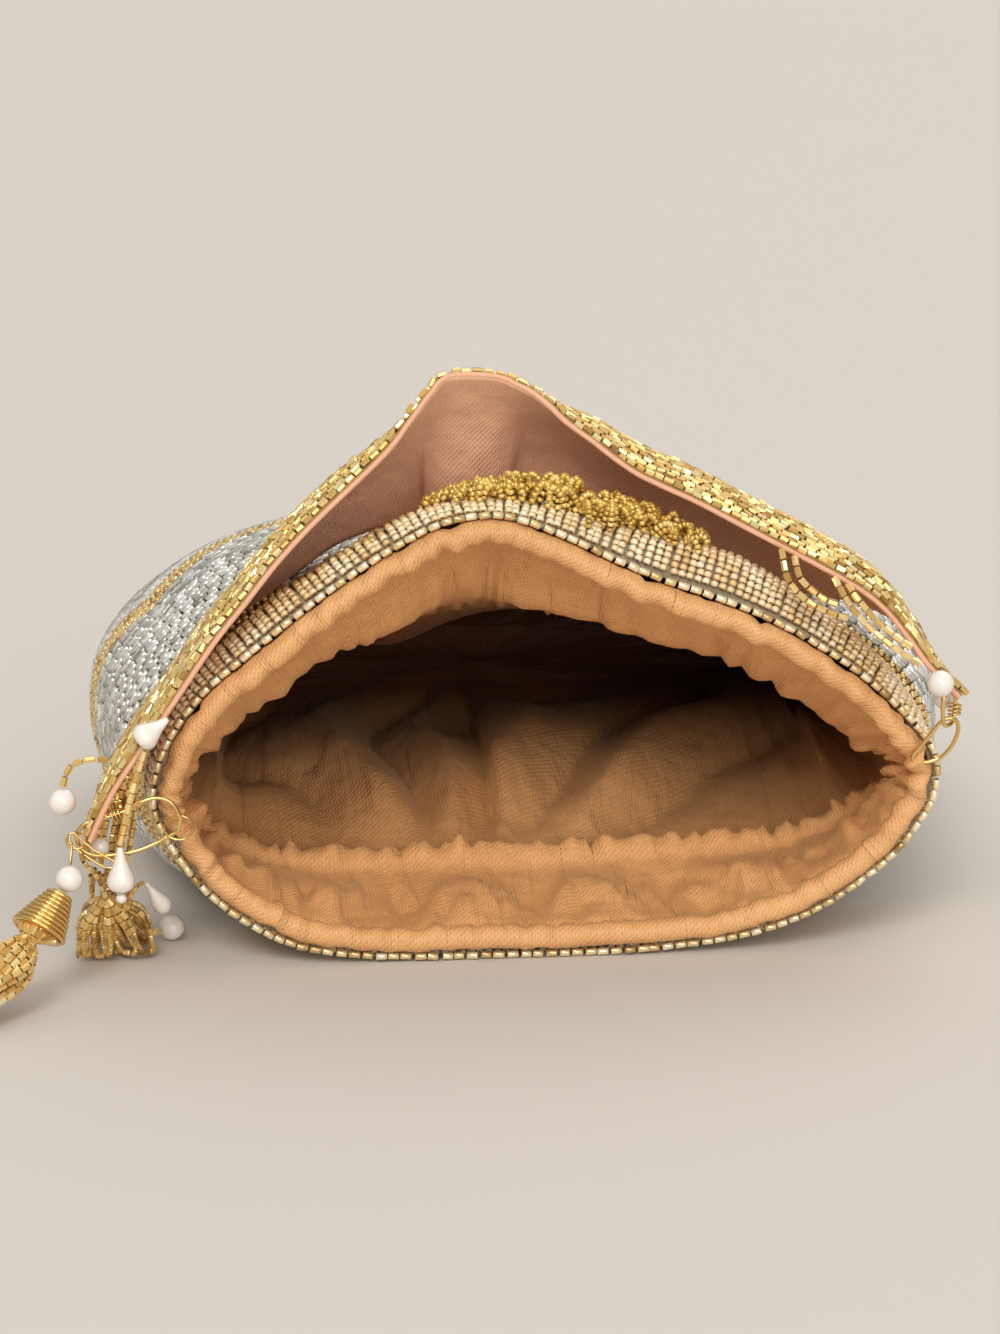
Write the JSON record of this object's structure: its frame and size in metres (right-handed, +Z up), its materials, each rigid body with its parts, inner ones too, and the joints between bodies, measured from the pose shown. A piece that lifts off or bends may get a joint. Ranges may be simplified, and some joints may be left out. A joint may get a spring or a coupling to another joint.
{
  "type": "potli bag",
  "caption": "Small beaded pouch handbag lying open on its back, with a satin lining, a beaded wrist strap on wire links, pearl charms and a bead tassel.",
  "frame": {"origin": "on the flat underside that the bag lies on, under the middle of its body", "axes": "+Z up, the open mouth faces -Y, +X to the viewer's right"},
  "size_m": [0.2639, 0.2742, 0.1367],
  "materials": {
    "shell_beadwork": "cloth closely sewn with silver tube beads and gold seed beads",
    "lining_satin": "peach satin with a soft sheen",
    "rim_beads": "champagne silver-lined tube beads",
    "ruffle_beads": "gold silver-lined seed beads in loops",
    "strap_satin": "salmon satin",
    "strap_beadwork": "cloth closely sewn with gold tube beads",
    "gold_wire": "polished gold plate",
    "pearls": "pearl lustre",
    "bead_strands": "gold silver-lined tube beads on thread",
    "cap_wire": "wound polished wire"
  },
  "bodies": {
    "bag": {"bag_shell": "shell_beadwork", "lining": "lining_satin", "rim_edging": "rim_beads", "bead_loop_ruffle": "ruffle_beads"},
    "handle": {"strap_lining": "strap_satin", "strap_beadwork": "strap_beadwork", "left_link": "gold_wire", "lower_right_link": "gold_wire", "upper_right_link": "gold_wire", "left_wrap": "gold_wire", "right_wrap": "gold_wire", "left_strap_teardrop": "pearls", "right_strap_pearl": "pearls", "right_back_pearl": "pearls", "arc_pearl": "pearls", "link_pearl": "pearls", "arc_strand": "bead_strands", "teardrop_strand": "bead_strands", "right_strand_1": "bead_strands", "right_strand_2": "bead_strands", "right_strand_3": "bead_strands", "right_strand_4": "bead_strands"},
    "left_ring": {"left_ring": "gold_wire"},
    "charm_ring": {"charm_ring": "gold_wire"},
    "teardrop": {"teardrop_charm": "pearls", "teardrop_tip_pearl": "pearls"},
    "tassel": {"tassel_eye": "gold_wire", "tassel_pearl": "pearls", "tassel_cap": "cap_wire", "tassel_skirt": "bead_strands"},
    "bunch": {"bunch_hanger": "bead_strands", "loop_bunch": "bead_strands", "table_pearl_strand": "bead_strands", "table_pearl": "pearls", "side_strand": "bead_strands", "side_teardrop": "pearls"}
  },
  "joints": [
    {"name": "handle_swing", "type": "hinge", "parent": "bag", "child": "handle", "pos_m": [-0.08535, -0.12584, 0.035], "axis": [0.9979, 0.0209, 0.0616], "range_deg": [0, 90]},
    {"name": "left_ring_turn", "type": "hinge", "parent": "bag", "child": "left_ring", "pos_m": [-0.08535, -0.12515, 0.03558], "axis": [0, -0.6428, 0.766], "continuous": true},
    {"name": "charm_ring_turn", "type": "hinge", "parent": "bag", "child": "charm_ring", "pos_m": [-0.10825, -0.12632, 0.03359], "axis": [0, -0.6428, 0.766], "continuous": true},
    {"name": "teardrop_swing", "type": "hinge", "parent": "handle", "child": "teardrop", "pos_m": [-0.0985, -0.1292, 0.0326], "axis": [1, 0, 0], "range_deg": [-20, 20]},
    {"name": "tassel_swing", "type": "hinge", "parent": "bag", "child": "tassel", "pos_m": [-0.10928, -0.12781, 0.03234], "axis": [1, 0, 0], "range_deg": [-80, 25]},
    {"name": "bunch_swing", "type": "hinge", "parent": "bag", "child": "bunch", "pos_m": [-0.10722, -0.12781, 0.03234], "axis": [1, 0, 0], "range_deg": [-40, 12]}
  ]
}
